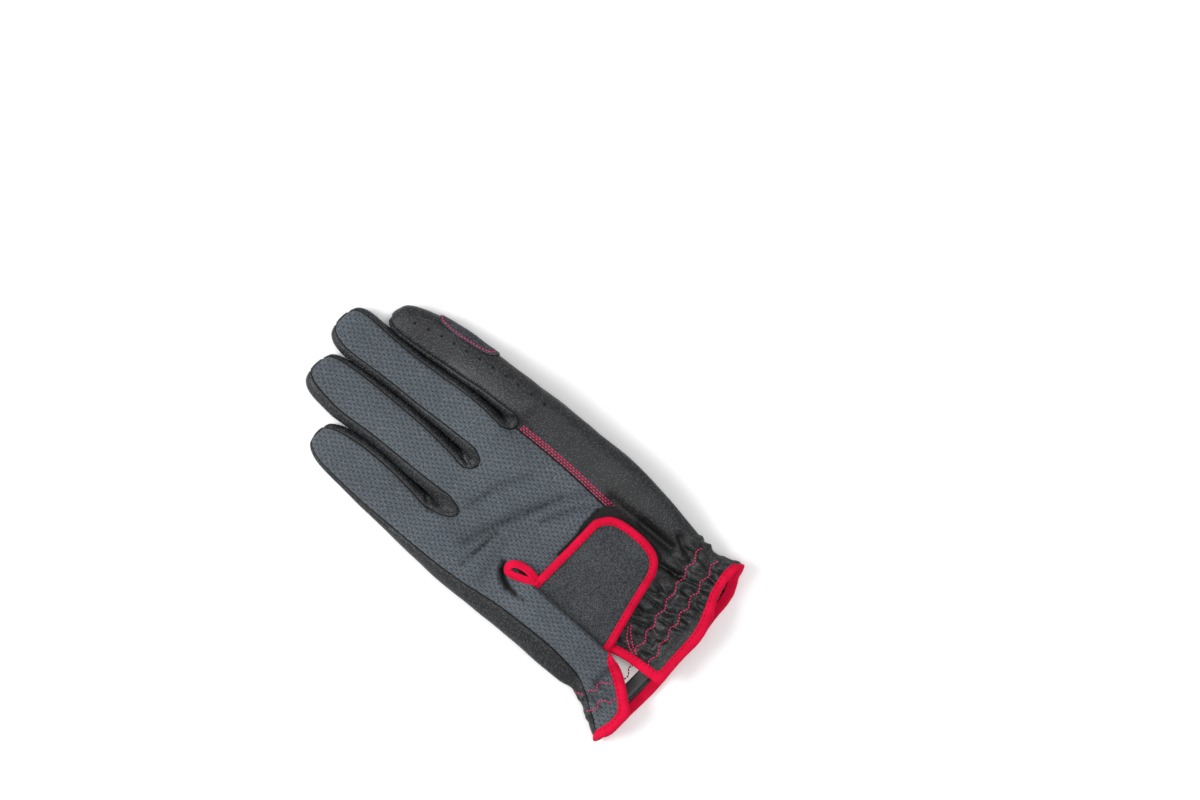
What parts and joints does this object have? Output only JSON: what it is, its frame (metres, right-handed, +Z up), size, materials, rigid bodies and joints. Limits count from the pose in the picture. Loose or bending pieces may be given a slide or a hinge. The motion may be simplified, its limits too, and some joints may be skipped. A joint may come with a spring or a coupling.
{
  "type": "drummer glove",
  "caption": "Left-hand drummer's glove of grey mesh and black leather, lying palm down, with a red-bound wrist tab, a vented cuff and the thumb tucked under.",
  "frame": {"origin": "middle of the glove's plan, on the surface that it lies on", "axes": "+X to the thumb side, +Y to the fingertips, +Z up out of the back of the hand"},
  "size_m": [0.1158, 0.2422, 0.0254],
  "materials": {
    "mesh_cloth": "matte, fine pin-dot mesh",
    "black_leather": "fine pebble grain, soft sheen",
    "red_tape": "matte folded tape",
    "loop_pile": "fuzzy loop pile",
    "white_label": "matte woven, blank",
    "black_satin": "satin",
    "pink_thread": "matte thread"
  },
  "bodies": {
    "root": {"back_panel": "mesh_cloth", "back_little": "mesh_cloth", "back_ring": "mesh_cloth", "back_middle": "mesh_cloth", "leather_back": "black_leather", "palm_panel": "black_leather", "fourchette_ring_little": "black_leather", "fourchette_middle_ring": "black_leather", "fourchette_index_middle": "black_leather", "index_patch": "black_leather", "thumb": "black_leather", "thumb_patch": "black_leather", "hem_binding": "red_tape", "closure_tab": "black_leather", "tab_binding": "red_tape", "loop_pad": "loop_pile", "pull_loop": "red_tape", "care_label": "white_label", "wrist_tape": "black_satin"}
  },
  "joints": []
}
